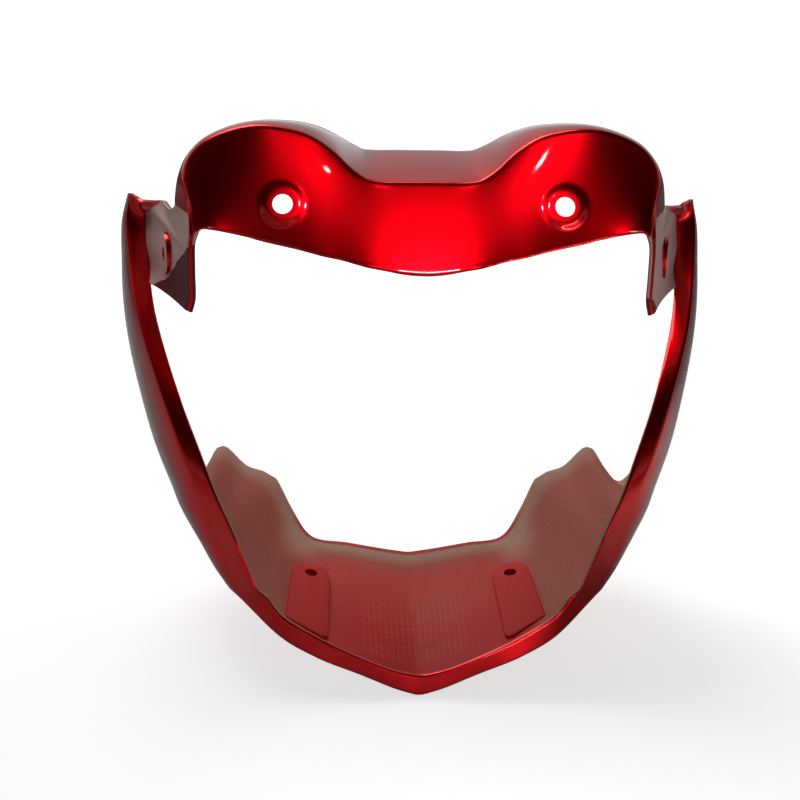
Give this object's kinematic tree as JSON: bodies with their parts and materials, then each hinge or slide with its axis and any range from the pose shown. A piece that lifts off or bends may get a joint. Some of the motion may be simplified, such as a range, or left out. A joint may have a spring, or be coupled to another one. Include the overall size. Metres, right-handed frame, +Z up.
{
  "type": "headlight cowl",
  "caption": "Moulded motorbike headlight cowl: humped visor with raised screw seats, folded-back ears, side arms and a chin bowl with raised mounting pads, all in one piece.",
  "frame": {"origin": "middle of the cowl's bounding box", "axes": "+X to the cowl's right as seen in the picture, along its longest side; -Y to the front of the motorbike; +Z up as it is mounted"},
  "size_m": [0.323, 0.1697, 0.2798],
  "materials": {
    "candy_paint": "candy red over metallic base under clear coat outside, thin dull overspray on the moulded grey-beige plastic inside"
  },
  "bodies": {
    "root": {"cowl": "candy_paint"}
  },
  "joints": []
}
